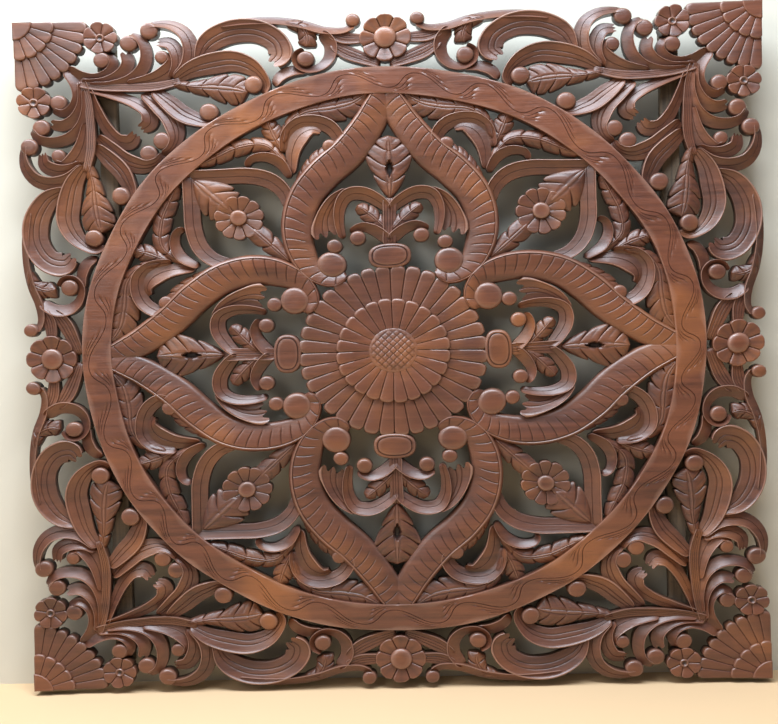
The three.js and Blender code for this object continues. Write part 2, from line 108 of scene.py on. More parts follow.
SCROLLS = {
    "flower_frame": dict(crest=1, top=FRAME_TOP, guide=[
        (26.6, 43, 3.4), (28.4, 48, 4.2), (32, 51.4, 4.6), (37.5, 53.1, 4.6), (44.5, 53.3, 4.5),
        (54, 53.3, 4.5)]),
    "spandrel_scroll": dict(crest=-1, bead=(15.8, 61, 2.1), guide=[
        (28.3, 59.5, 2), (27.3, 65, 2.8), (24, 68.2, 3.6), (19.5, 68.4, 4), (15.5, 66.6, 4),
        (13.3, 63.2, 3.6), (14, 60.5, 2.4)]),
    "spandrel_hook": dict(crest=1, flare=2, guide=[
        (26, 53, 2), (25.6, 60, 4.2), (23.6, 64.3, 5), (20.5, 66, 3), (18.2, 65.2, 1.5)]),
    "acanthus_curl": dict(crest=1, guide=[
        (26.5, 52, 2), (29.5, 56.6, 3), (33.5, 58.4, 2.6), (37, 57.6, 2), (38, 55.6, 1.5)]),
    "palmette_loop": dict(crest=1, bead=(14.8, 31.8, 2.1), guide=[
        (0, 41.8, 2.6), (2.8, 44.6, 3.6), (7, 47, 4), (11, 46.6, 3.8), (13, 43.4, 3.2), (13.4, 39, 2.6),
        (12.6, 34, 2)]),
    "palmette_horn": dict(crest=1, flare=3, guide=[
        (10.8, 48, 2.4), (14.6, 45, 3.6), (17, 40.6, 4.8), (17.4, 36.6, 6.6), (16.8, 34.4, 7.4)]),
    "palmette_curl": dict(crest=1, bead=(8.6, 34, 2.2), guide=[
        (0, 32.6, 3.4), (4, 36, 3.2), (7.5, 37.2, 2.6), (10.6, 35.8, 2)]),
    "heart_loop": dict(crest=1, flare=3, guide=[
        (80, 80, 2), (74, 78, 2.6), (68, 75.4, 3.4), (64.4, 72.4, 4), (64, 69.4, 4.6),
        (66.4, 67.6, 3)]),
    "ring_curl": dict(crest=1, bead=(60.5, 64.2, 2.5), guide=[
        (66, 78, 2.4), (61.8, 74.6, 4.6), (58.6, 71.2, 5.2), (57, 67.6, 5), (56.8, 64.4, 3.6),
        (58.4, 61.4, 2.6), (60.6, 60.2, 2)]),
    "low_curl": dict(crest=1, bead=(48, 72.3, 2.6), guide=[
        (63, 78.8, 3), (58.6, 75, 5), (55.2, 72, 5.2), (52, 70.4, 4.6), (49, 69.3, 3), (46.4, 70.2, 2)]),
    "long_curl": dict(crest=-1, bead=(35.7, 80.2, 2.6), guide=[
        (57, 81.8, 2.5), (52, 85, 4.8), (46.5, 86.6, 6), (41, 87.2, 5.8), (36.6, 85.6, 5),
        (33.6, 82.8, 3.6), (32.2, 79.8, 2.6), (33.2, 77.3, 2)]),
    "crest_leaf": dict(crest=-1, flare=2, guide=[
        (50.5, 87, 2), (47.4, 92.4, 5.6), (41, 95.7, 6.8), (34, 95.6, 6.6), (29, 92.4, 6.6),
        (28, 88.4, 7), (30.5, 86, 4.5)]),
    "top_band": dict(crest=1, bead=(8.6, 98, 2), guide=[
        (44, 97.6, 2), (37, 98.6, 2.4), (29, 98.6, 2.4), (22, 97.4, 2.6), (16, 95.4, 2.6),
        (11, 95.2, 2.2), (8.2, 96.6, 2)]),
    "wrap_curl": dict(crest=-1, bead=(21.2, 87, 2.4), guide=[
        (17, 95, 3), (14.6, 91, 3.6), (15, 87, 3.4), (17.5, 84.4, 2.8), (21.2, 83.8, 2.2),
        (23.8, 85.8, 1.8), (23.8, 88.4, 1.5), (21.6, 90, 1.3)]),
    "ring_hug": dict(crest=-1, guide=[
        (21, 83.2, 1.6), (25, 83.6, 3.4), (28.2, 82.2, 3.4), (30, 79.6, 2.4)]),
    "stem": dict(LINED, guide=[
        (83, 82.5, 3.4), (77, 80.6, 2.6), (70, 79.8, 2.4), (62, 79.9, 2.6), (55, 81.6, 2)]),
    "upper_lobe": dict(LINED, guide=[(15, 94.4, 2.6), (11, 92.8, 3.6), (5, 92.4, 2.6)]),
    "lower_lobe": dict(LINED, guide=[
        (14.6, 91.4, 2.2), (10.5, 88.6, 4.2), (5.5, 86.4, 3.6), (1.2, 84.8, 2.6)]),
    "corner_curl": dict(crest=-1, bead=(76.4, 88.4, 2.4), guide=[
        (86, 86.2, 3.2), (81.6, 83.8, 2.8), (78, 83.2, 2.6), (74.8, 84.6, 2.4), (73.2, 87.4, 2.2),
        (74.4, 90.2, 1.8)]),
    "corner_tongue": dict(crest=-1, flare=2, guide=[
        (82, 82.2, 1.6), (76, 81.9, 2.6), (71.7, 83.8, 3), (69.5, 87, 3.3), (70, 90.6, 3)]),
    "middle_curl": dict(crest=-1, bead=(69, 93.2, 2.5), guide=[
        (80, 81.2, 1.6), (74, 80.9, 2.2), (68.6, 82.5, 2.8), (65.3, 86, 3.2), (64.5, 90.5, 3),
        (65.8, 94.3, 2.6), (68.6, 96, 1.8)]),
    "outer_curl": dict(crest=-1, bead=(63.4, 96.7, 2.5), guide=[
        (57, 82, 2.4), (53, 86.4, 4.2), (52.2, 91, 4.2), (53.6, 95.3, 4), (57, 97.9, 3.4),
        (61, 98.6, 2.4), (64.4, 98, 1.6)]),
    "inner_curl": dict(crest=-1, flare=3, guide=[
        (58, 82.4, 1.8), (56.2, 86, 3), (56.1, 89.6, 3.9), (57.9, 92.7, 3.9), (61.4, 93.2, 3)]),
    "low_inner_curl": dict(crest=-1, bead=(60.3, 88.7, 2), guide=[
        (70, 80.9, 1.6), (63, 82.2, 3.6), (58.8, 84.6, 4.4), (57.3, 87.6, 3), (58.8, 90.2, 1.6)]),
}

LEAVES = {
    "ring_leaf": dict(lobes=6, guide=[
        (28.3, 62, 2), (26.9, 67.5, 3.4), (22.5, 71.2, 5.4), (15, 72.2, 8.4), (9.5, 73.4, 6.8),
        (4.6, 76.4, 2)]),
    "band_leaf": dict(lobes=4, guide=[(25, 50, 2), (21.5, 55, 4), (18, 58.6, 4), (15.8, 59.6, 2)]),
    "upright_leaf": dict(lobes=3, guide=[(28.5, 60, 2), (30.8, 65, 5.5), (32.3, 69.6, 1.8)]),
    "spandrel_leaf": dict(lobes=5, guide=[
        (27.5, 56, 2), (33, 61.8, 4.5), (40, 61.6, 5), (46, 59.2, 4), (51, 56.8, 1.5)]),
    "palmette_leaf": dict(lobes=3, guide=[(0.6, 36, 3), (4.5, 40, 5), (8.6, 43.6, 2)]),
    "oak_leaf": dict(lobes=5, guide=[
        (58, 80.8, 2), (51.5, 79.8, 4.6), (46, 79.6, 9), (41, 79, 8), (37.3, 78, 2)]),
    "tongue": dict(lobes=3, guide=[(27, 98, 2.4), (22, 96.4, 4.6), (20.6, 93.4, 5), (21, 90.6, 2)]),
}

# Leaves on the upright axis and on the diagonal, which the four quarters repeat.
QUARTER_LEAVES = {
    "palmette_top": dict(lobes=4, slit=(0.34, 0.62), guide=[
        (0, 45.4, 4.6), (0, 50, 9.6), (0, 54.5, 13), (0, 59, 8.6), (0, 64, 1.8)]),
    "flower_sepal": dict(lobes=2, guide=[(27, 27, 3), (31.5, 31.5, 6), (37, 37, 5)]),
    "flower_leaf": dict(lobes=2, guide=[(52.5, 52.5, 9), (48, 48, 12), (43, 43, 7)]),
}
PALMETTE_STALK = dict(LINED, guide=[(0, 31, 4), (0, 38, 3.6), (0, 46, 4)])


# ---- carving shells: grids of points that close round their section ----

class Run:
    """A smooth run through guide points, read by the share of its length."""

    SAMPLES = 480

    def __init__(self, guide):
        """A centripetal spline: each span is a cubic whose end slopes come from four guide points,
        spaced by the square root of their distances. The two ends are reflected guide points."""
        given = np.array(guide, float)
        ends = np.vstack([2 * given[0] - given[1], given, 2 * given[-1] - given[-2]])
        gaps = np.sqrt(np.linalg.norm(np.diff(ends, axis=0), axis=1))
        place = np.linspace(0, len(given) - 1, self.SAMPLES)
        span = np.minimum(place.astype(int), len(given) - 2)
        w = (place - span)[:, None]
        p0, p1, p2, p3 = (ends[span + k] for k in range(4))
        a, b, c = (gaps[span + k][:, None] for k in range(3))
        slope1 = b * ((p1 - p0) / a - (p2 - p0) / (a + b) + (p2 - p1) / b)
        slope2 = b * ((p2 - p1) / b - (p3 - p1) / (b + c) + (p3 - p2) / c)
        self.points = (p1 + slope1 * w + (3 * (p2 - p1) - 2 * slope1 - slope2) * w ** 2
                       + (2 * (p1 - p2) + slope1 + slope2) * w ** 3)
        flat = self.points[:, :2]
        self.ways = np.gradient(flat, axis=0)
        self.ways /= np.linalg.norm(self.ways, axis=1)[:, None]
        steps = np.linalg.norm(np.diff(flat, axis=0), axis=1)
        self.length = steps.sum()
        self.shares = np.concatenate([[0], np.cumsum(steps)]) / self.length
        turns = np.arctan2(np.cross(self.ways[:-1], self.ways[1:]),
                           (self.ways[:-1] * self.ways[1:]).sum(1))
        self.turn = np.abs(turns).sum()

    def at(self, shares):
        """Middle points, directions, left-hand normals and half widths at shares of the length."""
        u, v, width = (np.interp(shares, self.shares, column) for column in self.points.T)
        du, dv = (np.interp(shares, self.shares, column) for column in self.ways.T)
        size = np.hypot(du, dv)
        way = np.stack([du / size, dv / size], -1)
        normal = np.stack([-way[..., 1], way[..., 0]], -1)
        return np.stack([u, v], -1), way, normal, width / 2


def bump(x, at, width):
    """A bell of height 1 at `at`: e to the minus square of the distance over the width."""
    return np.exp(-((x - at) / width) ** 2)


def eased(count, ease=0.6):
    """Shares from 0 to 1, closer together at both ends: q less a share of sin(2 pi q) / 2 pi."""
    q = np.linspace(0, 1, count)
    return q - ease * np.sin(2 * np.pi * q) / (2 * np.pi)


def round_ends(run, shares, half, least=0.08):
    """How much of its width a stroke has near its ends: a quarter circle, about as long as the
    half width."""
    nearest = np.minimum(shares, 1 - shares) * run.length
    k = np.clip(nearest / (half * 0.9 + 0.2), 0, 1)
    return least + (1 - least) * np.sqrt(1 - (1 - k) ** 2)


def swept(run, shares, across, depth, half):
    """Points of a stroke: the middle plus the left normal times `across` times the half width."""
    middle, _, normal, _ = run.at(shares)
    plan = middle + normal * (across * half)[..., None]
    return np.concatenate([plan, depth[..., None]], -1)


def scroll_section(top, hollow, lines):
    """Section of a scroll from its outer foot (-1) to its inner foot (1): a wall, a thin rim rounded
    over, a small step down inside it, and a broad scoop that falls to the inner side with the
    power 1.3. `lines` are fine cuts along the scoop. Gives across, depth and wear with painted
    light: wear and a painted highlight on the rim and lip, painted shade in the step and cuts."""
    begin, end, step_down, line_depth, line_width = -0.72, 0.93, 0.4, 0.16, 0.024
    wall = np.array([(-1, 0, 0)]).T
    rim = np.array([(-1, -1.3, 0.2), (-0.993, -0.5, 0.4), (-0.97, -0.16, 0.9), (-0.93, -0.02, 1),
                    (-0.88, 0, 1), (-0.84, -0.07, 0.6), (-0.79, -0.22, 0), (-0.755, -0.36, -0.35)]).T
    rim[1] += top
    near = [at + shift for at in lines for shift in (-0.05, -0.022, 0, 0.022, 0.05)]
    x = np.unique(np.concatenate([np.linspace(begin, end, 12), near]))
    fall = (1 - (x - begin) / (end - begin)) ** 1.3
    cuts = sum((bump(x, at, line_width) for at in lines), np.zeros_like(x))
    scoop = np.stack([x, hollow + (top - step_down - hollow) * fall - line_depth * cuts, -0.7 * cuts])
    lip = np.array([(0.965, hollow - 0.03, 0.5), (0.988, hollow - 0.14, 0.6), (1, hollow - 0.5, 0),
                    (1, 0, 0)]).T
    return np.concatenate([wall, rim, scoop, lip], 1)


def lines_for(widest):
    """Where the fine lines of a scroll run: two on a broad one, one on a middling one."""
    if widest > 5:
        return -0.12, 0.32
    return (0.1,) if widest > 3.7 else ()


def scroll(guide, crest, top=CREST, hollow=HOLLOW, bead=None, lines=None, flare=0):
    """A scroll: its section is swept along the run, narrowed and lowered to a round end. A flared
    end stays as wide as it is, and is scalloped: between its `flare` tips it draws back as the
    third power of the absolute cosine of the place across, and its wall leans in under them. The
    bead that it curls round is a shell of its own."""
    rings_by_length, rings_by_turn, fewest, most = 0.8, 6, 18, 52
    run = Run(guide)
    if lines is None:
        lines = lines_for(max(point[2] for point in guide))
    across, depth, wear = scroll_section(top, hollow, lines)
    rings = np.clip(run.length * rings_by_length + run.turn * rings_by_turn, fewest, most)
    shares = eased(int(rings))[:, None]
    half = run.at(shares)[3]
    end = round_ends(run, shares, half)
    if flare:
        end = np.where(shares > 0.5, 1, end)
        between = np.abs(np.cos(np.pi * flare * (across + 1) / 2))
        near_end = np.clip(1 - (1 - shares) * run.length / (2 * half), 0, 1)
        shares = shares - 0.5 * half * between ** 3 * near_end / run.length
    grid = swept(run, shares + 0 * across, -crest * across + 0 * shares,
                 depth * (0.74 + 0.26 * end) + 0 * shares, half * end)
    wear = wear + 0 * grid[..., 0]
    if flare:
        # The inner wall under the flared tips gets painted shade.
        inside = swept(run, shares[-1:] - half[-1:] / run.length, -0.4 * crest * across[None],
                       depth[None] * 0.4, half[-1:])
        grid, wear = np.concatenate([grid, inside]), np.concatenate([wear, 0 * wear[-1:] - 0.5])
    return grid, wear


def leaf_slit(shares, off, slit):
    """1 inside an almond-shaped slit sunk along the rib, between two shares of the leaf's length.
    Its half width is a parabola along the leaf."""
    widest, steepness = 0.16, 18
    middle, reach = (slit[0] + slit[1]) / 2, (slit[1] - slit[0]) / 2
    open_part = np.clip(1 - ((shares - middle) / reach) ** 2, 0, 1)
    return np.clip((widest * open_part - off) * steepness, 0, 1)


def leaf(guide, lobes, slit=None):
    """A leaf with its rib in the middle. Along each lobe the half width keeps its size and drops
    with the seventh power to a notch, and every cross line is swept forward by the distance from the
    rib. The face falls a little from the rib to the edge and is full in each lobe. A fine cut runs
    from every notch towards the rib, a finer one along each lobe, and one beside the rib."""
    notch, forward, fullness = 0.66, 0.7, 0.12
    notch_cut, lobe_cut, rib_cut, slit_cut, edge_drop = 0.26, 0.1, 0.16, 1.8, 0.28
    run = Run(guide)
    steps = np.array([0, 0.022, 0.05, 0.1, 0.18, 0.3, 0.42, 0.5, 0.58, 0.7, 0.82, 0.9, 0.95, 0.978])
    phase = np.append((np.arange(lobes)[:, None] + steps).ravel(), lobes)[:, None]
    shares = phase / lobes
    part = phase - np.floor(np.minimum(phase, lobes - 1e-9))
    outwards = np.array([0.07, 0.13, 0.2, 0.32, 0.46, 0.6, 0.74, 0.86, 0.94, 0.985, 1, 1])
    side = np.concatenate([-outwards[::-1], [0], outwards])
    off = np.abs(side)
    half = run.at(shares)[3]
    drawn = np.abs(2 * np.clip(part, 0, 1) ** 0.85 - 1) ** 7
    at_ends = (phase < 0.5) | (phase > lobes - 0.5)
    reach = (1 - (1 - notch) * drawn * ~at_ends) * round_ends(run, shares, half, 0.1)
    tip_room = np.clip((1 - shares) * run.length / (half + 0.1), 0, 1)
    moved = np.clip(shares + forward * half * reach * off ** 1.5 * tip_room / run.length, 0, 1)
    face = LEAF_EDGE + (LEAF_RIB - LEAF_EDGE) * (1 - off) ** 0.8
    face = face + fullness * (1 - drawn) * np.sin(np.pi * off) ** 0.7
    from_notch = np.minimum(part, 1 - part)
    inside = (phase > 0.3) & (phase < lobes - 0.3)
    vein = inside * bump(from_notch, 0, 0.03) * np.clip((off - 0.42) * 4, 0, 1)
    fine = bump(part, 0.5, 0.03) * np.clip((off - 0.3) * 5, 0, 1) * np.clip((0.95 - off) * 6, 0, 1)
    beside = bump(off, 0.13, 0.035) * np.clip((lobes - phase) * 2, 0, 1)
    depth = face - notch_cut * vein - lobe_cut * fine - rib_cut * beside - edge_drop * off ** 14
    # Lighter along the rib and the edge: wear and a painted highlight. Painted shade in the veins, the
    # fine cuts, beside the rib and in the slit.
    rubbed_and_highlit = 0.5 * bump(off, 0, 0.05) + 0.7 * bump(off, 0.96, 0.04)
    wear = rubbed_and_highlit - 0.9 * vein - 0.5 * fine - 0.4 * beside
    if slit:
        hole = leaf_slit(shares, off, slit)
        depth, wear = depth - slit_cut * hole, wear * (1 - hole) - hole
    depth = depth * (0.8 + 0.2 * round_ends(run, shares, half))
    depth[:, [0, -1]] = 0
    wear = wear + 0 * shares
    wear[:, [0, -1]] = 0
    grid = swept(run, moved, side + 0 * shares, depth, half * reach)
    return grid, wear


def ogee_band(guide):
    """The broad ogee band: a bevel and a fine groove run along its outer edge, and the face falls
    a little to its inner edge. Across the face go crescent cuts: the cross lines bend back along
    the run with the square of the distance from the outer edge, and every cut is one of them."""
    spacing, bow, crescent_cut = 2.75, 1.7, 0.22
    groove_at, groove_cut, cut_reach = -0.74, 0.24, 0.55
    sunk, fullness, inner_drop = 0.12, 0.18, 0.9
    run = Run(guide)
    cuts = int(run.length / spacing)
    steps = np.array([0, 0.05, 0.11, 0.24, 0.42, 0.6, 0.78, 0.89, 0.95])
    phase = np.append((np.arange(cuts)[:, None] + steps).ravel(), cuts)[:, None]
    from_cut = np.minimum(phase - np.floor(phase), np.ceil(phase) - phase)
    across = np.array([-1, -1, -0.985, -0.93, -0.86, -0.8, -0.765, groove_at, -0.715, -0.68, -0.58,
                       -0.45, -0.3, -0.15, 0, 0.15, 0.3, 0.42, 0.55, 0.7, 0.82, 0.91, 0.97, 1, 1])
    face = BAND_TOP - sunk + (BAND_INNER - BAND_TOP) * np.clip((across + 0.8) / 1.8, 0, 1) ** 1.5
    face = face + fullness * np.cos(across * np.pi / 2)
    bevel = np.interp(across, [-1, -0.985, -0.86, -0.8, -0.765], [3.3, 3.75, 4.4, 4.55, 4.5])
    depth = np.where(across < groove_at - 0.01, bevel, face) - groove_cut * bump(across, groove_at, 0.018)
    depth = depth - inner_drop * np.clip((across - 0.82) / 0.18, 0, 1) ** 2
    shares = phase / cuts
    half = run.at(shares)[3]
    inward = np.clip((across - groove_at) / (cut_reach - groove_at), 0, 1.2)
    bend = bow * (inward ** 2 - 1) * np.sin(np.pi * shares) ** 0.3
    bent = np.clip(shares + bend / run.length, 0, 1)
    bent = bent - bent[:1] * (1 - shares) + (1 - bent[-1:]) * shares * (shares == 1)
    reach = np.clip((across - groove_at) * 12, 0, 1) * np.clip((cut_reach - across) * 4, 0, 1)
    crescent = bump(from_cut, 0, 0.04) * reach * ((phase > 0.5) & (phase < cuts - 0.5))
    end = round_ends(run, shares, half * 0.7, 0.25) * (shares > 0.5) + (shares <= 0.5)
    depth = (depth - crescent_cut * crescent) * (0.8 + 0.2 * end)
    depth[:, [0, -1]] = 0
    # Lighter on the bevel and the inner edge: wear and a painted highlight; painted shade in the groove
    # and the crescent cuts.
    wear = 0.9 * bump(across, -0.82, 0.06) + 0.4 * bump(across, 0.9, 0.06)
    wear = wear * (np.arange(len(across)) > 0) - 0.8 * bump(across, groove_at, 0.02) - 0.7 * crescent
    wear[:, [0, -1]] = 0
    grid = swept(run, np.clip(bent, 0, 1), -across + 0 * shares, depth, half * end)
    return grid, wear


def turned(at, profile, facets, cut=None):
    """A round form at (u, v): each point (radius, depth, wear and painted light) of the profile goes
    round in a circle. `cut` is a function of u, v and radius that gives what is taken from the
    depth and the painted shade in the cut."""
    radius, depth, wear = (np.array(column, float)[:, None] for column in zip(*profile))
    angle = np.linspace(0, 2 * np.pi, facets, endpoint=False)
    u, v = radius * np.cos(angle), radius * np.sin(angle)
    lowered, cut_shade = cut(u, v, radius) if cut else (0, 0)
    grid = np.stack([at[0] + u, at[1] + v, depth - lowered + 0 * u], -1)
    return grid, wear - cut_shade + 0 * u


def bead(at):
    """A bead: a round wall, a soft shoulder and a top that is almost flat, with painted shade at its foot
    and wear and a painted highlight on the shoulder.
    """
    u, v, radius = at
    profile = [(1, 0, 0), (1, BEAD_RIM - 0.4, -0.3), (0.985, BEAD_RIM + 0.1, 0.2),
               (0.93, BEAD_RIM + 0.55, 0.8), (0.85, BEAD_TOP - 0.22, 0.6), (0.7, BEAD_TOP - 0.08, 0.1),
               (0.4, BEAD_TOP, 0), (0.12, BEAD_TOP + 0.02, 0)]
    return turned((u, v), [(radius * share, depth, wear) for share, depth, wear in profile], 22)


def petal_columns(count, begin, sweep):
    """Angles and the part of a petal (0 and 1 at the cuts) for a row of petals."""
    steps = np.array([0, 0.022, 0.06, 0.15, 0.3, 0.5, 0.7, 0.85, 0.94, 0.978])
    place = (np.arange(count)[:, None] + steps).ravel()
    if sweep < 2 * np.pi:
        place = np.append(place, count)
    return begin + sweep * place / count, place - np.floor(place)


def petals(at, count, radius, inner, rim, middle, tip=0.07, groove=0.4, cup=0.12,
           begin=0.0, sweep=2 * np.pi, roundness=3.0, centre_line=0.0):
    """A row of petals round (u, v). The rim draws in at the cuts with a power, the roundness, of
    the distance from the petal's middle. The face goes evenly from the rim to the middle, bellies a
    little in each petal, and is cut down between two petals and, for some, along their middle."""
    angle, part = petal_columns(count, begin, sweep)
    off = np.abs(2 * part - 1)
    least = inner / radius
    share = np.concatenate([[1, 1, 0.994, 0.98, 0.955], np.linspace(0.92, least, 8)])[:, None]
    drop = np.array([0, 0.62, 0.3, 0.08, 0] + [0] * 8)[:, None]
    reach = radius * (1 - tip * off ** roundness * np.clip((share - least) * 3, 0, 1))
    from_cut = np.minimum(part, 1 - part)
    cuts = bump(from_cut, 0, 0.02) + 0 * share
    line = centre_line * bump(part, 0.5, 0.05) * np.clip((share - least) * 4, 0, 1)
    inward = np.clip((1 - share) / (1 - least), 0, 1)
    depth = rim + (middle - rim) * inward - drop + cup * (1 - off ** 2) - groove * cuts - line
    # Lighter at the rim and beside the cuts: wear and a painted highlight; painted shade in the cuts and
    # the middle lines.
    rubbed_and_highlit = 0.8 * bump(share, 0.975, 0.015) + 0.3 * bump(from_cut, 0.07, 0.025)
    wear = rubbed_and_highlit - 0.9 * cuts - line * 2
    depth[0], wear[0] = 0, 0
    grid = np.stack([at[0] + reach * share * np.cos(angle), at[1] + reach * share * np.sin(angle),
                     depth], -1)
    return grid, wear + 0 * depth


def fan_row(count, radius, inner, rim, middle, **shape):
    """A quarter row of petals round the corner (100, 100). The grid goes along the quarter, and
    its section from the corner's foot out to the rim and back in over the face."""
    grid, wear = petals((100, 100), count, radius, inner, rim, middle, begin=np.pi,
                        sweep=np.pi / 2, **shape)
    back = np.concatenate([np.full(grid.shape[1:2] + (2,), 100.0), np.zeros((grid.shape[1], 1))], 1)
    front = back + (0, 0, middle)
    whole = np.concatenate([back[None], grid, front[None]]).transpose(1, 0, 2)
    edges = np.concatenate([wear[:1] * 0, wear, wear[:1] * 0]).T
    return whole, edges


def ring_edge(angle, rows):
    """Rows that run round the ring at one radius each: radius, depth, wear and painted light, and angle.
    """
    radius, depth, wear = (np.array(column, float) + 0 * angle for column in zip(*rows))
    return np.stack([radius, depth, wear, angle + 0 * radius])


def wave_ring():
    """The flat ring. Its rows follow a wave round the ring, shifted up and down and pressed flat
    towards the edges as a hyperbolic tangent, so that a wavy line and short curved hatches beside
    it are rows that are cut down, each over its own stretch of the wave. Between the edges every
    cross line leans round the ring in proportion to its height, so the wave leans too."""
    swing, room, lean, per_wave = 2.7, 3.7, 0.45, 28
    cut_depth, cut_width, hatch_strength = 0.22, 0.15, 0.8
    middle = (RING_INNER + RING_OUTER) / 2
    angle = np.linspace(0, 2 * np.pi, RING_WAVES * per_wave, endpoint=False)[:, None]
    drift = 0.7 * np.sin(3 * angle + 0.6) + 0.5 * np.sin(5 * angle)
    phase = RING_WAVES * angle + drift
    wave = swing * np.cos(phase)
    lines = np.array([-3.5, -2.45, -1.3, 0, 1.3, 2.45, 3.5])
    rows = (lines[:, None] + (-cut_width, 0, cut_width)).ravel()
    rows = np.sort(np.append(rows, [-5.4, -4.4, 4.4, 5.4]))[::-1]
    line = np.abs(rows[:, None] - lines).argmin(1)
    at_line = np.abs(rows - lines[line]) < 1e-6
    turn = np.mod(phase / (2 * np.pi), 1)
    start = np.select([lines == 0, lines > 0], [0, 0.5 + 0.05 * lines], -0.05 * lines)
    long = np.where(lines == 0, 9, 0.42 - 0.05 * np.abs(lines))
    into = np.clip(np.mod(turn - start[line], 1) / long[line], 0, 1)
    hatch = hatch_strength * np.clip(np.sin(np.pi * into) * 2, 0, 1)
    cut = np.where(lines[line] == 0, 1, hatch) * at_line
    pressed = middle + room * np.tanh((wave + rows) / room)
    lean_here = lean * np.clip((room - np.abs(pressed - middle)) * 2, 0, 1)
    leaning = angle + lean_here * (pressed - middle) / middle
    # Painted shade in the cut lines; wear and a painted highlight on the rounded edges.
    face = np.stack([pressed, RING_TOP - cut_depth * cut, -0.85 * cut, leaning])
    outer = [(RING_OUTER, 0, 0), (RING_OUTER, RING_TOP - 0.45, 0),
             (RING_OUTER - 0.05, RING_TOP - 0.2, 0.8), (RING_OUTER - 0.14, RING_TOP - 0.05, 0.8)]
    inner = [(RING_INNER + 0.14, RING_TOP - 0.05, 0.6), (RING_INNER + 0.05, RING_TOP - 0.2, 0.6),
             (RING_INNER, RING_TOP - 0.45, 0), (RING_INNER, 0, 0)]
    parts = [ring_edge(angle, outer), face, ring_edge(angle, inner)]
    radius, depth, wear, around = np.concatenate(parts, 2)
    return np.stack([radius * np.cos(around), radius * np.sin(around), depth], -1), wear


def bar():
    """A cushion-shaped bar: superellipses, one inside the other, from the foot over a round
    shoulder to a flat top with a cut border."""
    power = 0.78
    angle = np.linspace(0, 2 * np.pi, 56, endpoint=False)
    squared_u, squared_v = (np.sign(wave) * np.abs(wave) ** power
                            for wave in (np.cos(angle), np.sin(angle)))
    # Third column: wear and a painted highlight on the shoulder, painted shade in the cut border.
    share, depth, wear = (np.array(column, float)[:, None] for column in zip(*[
        (1, 0, 0), (1, 3.2, 0), (0.985, 3.6, 0.3), (0.95, 3.95, 0.7), (0.89, 4.15, 0.5),
        (0.83, 4.2, 0), (0.77, 4.18, -0.4), (0.745, 3.9, -1), (0.72, 4.18, -0.4), (0.68, 4.24, 0.3),
        (0.5, 4.27, 0), (0.2, 4.28, 0)]))
    longer = BAR_HALF_WIDTH - BAR_HALF_HEIGHT
    u = squared_u * (BAR_HALF_HEIGHT * share + longer * share ** 0.3)
    v = BAR_V + squared_v * BAR_HALF_HEIGHT * share
    return np.stack([u, v + 0 * share, depth + 0 * u], -1), wear + 0 * u


def crosshatch(u, v, radius):
    """Two sets of straight cuts at right angles over the dome, fading at its rim, with painted shade in
    them.
    """
    pitch, cut_depth, rim = 1.45, 0.22, ROSETTE_DOME - 0.5
    across = np.abs(np.mod((u + v) / math.sqrt(2) / pitch, 1) - 0.5)
    along = np.abs(np.mod((u - v) / math.sqrt(2) / pitch, 1) - 0.5)
    cut = np.maximum(bump(across, 0, 0.1), bump(along, 0, 0.1)) * np.clip((rim - radius) * 2, 0, 1)
    return cut_depth * cut, cut


# ---- from shells to meshes ----

def wander(points):
    """The carver's hand: every point moves a little in the plane of the board, by sines of its
    place that have no common period, and much less in depth. The outermost points of the board
    move in depth only."""
    x, z = points[..., 0], points[..., 2]
    moved = points.copy()
    inside = np.clip((1 - np.maximum(np.abs(x) / BOARD_HIGH[0], np.abs(z) / BOARD_HIGH[2])) * 25, 0, 1)
    moved[..., 0] += WANDER * inside * (np.sin(23 * z + 9 * x + 1) + 0.6 * np.sin(41 * x - 17 * z))
    moved[..., 2] += WANDER * inside * (np.sin(19 * x - 13 * z + 2) + 0.6 * np.sin(37 * z + 21 * x))
    lift = WANDER_DEPTH * (np.sin(31 * x + 27 * z) + np.sin(47 * z - 33 * x + 3))
    moved[..., 1] += lift * np.clip(-points[..., 1] / 0.02, 0, 1)
    return moved


def placed(grid, quarter, mirrored):
    """Pattern points to metres: u changes sign if mirrored, and each quarter turn takes (u, v) to
    (-v, u)."""
    u, v, depth = grid[..., 0] * (-1 if mirrored else 1), grid[..., 1], grid[..., 2]
    for _ in range(quarter):
        u, v = -v, u
    return np.stack([MIDDLE[0] + u * UNIT[0], FLAT_BACK - depth * UNIT[1], MIDDLE[2] + v * UNIT[2]], -1)


def shell_faces(rings, corners, looped):
    """Quads between neighbouring rings, and fans over the two end rings if the rings don't loop."""
    i = np.arange(rings if looped else rings - 1)[:, None]
    j = np.arange(corners)[None]
    after, beside = (i + 1) % rings, (j + 1) % corners
    quads = np.stack([i * corners + j, i * corners + beside, after * corners + beside,
                      after * corners + j], -1).reshape(-1, 4)
    if looped:
        return quads, np.zeros((0, 3), int)
    j = np.arange(corners)
    beside, last, hub = (j + 1) % corners, (rings - 1) * corners, rings * corners
    start = np.stack([beside, j, 0 * j + hub], -1)
    end = np.stack([last + j, last + beside, 0 * j + hub + 1], -1)
    return quads, np.concatenate([start, end])


def signed_volume(points, quads, triangles):
    """Six times the volume: the sum of the triple products of the faces' corners."""
    faces = np.concatenate([quads[:, [0, 1, 2]], quads[:, [0, 2, 3]], triangles])
    a, b, c = (points[faces[:, k]] for k in range(3))
    return (a * np.cross(b, c)).sum()


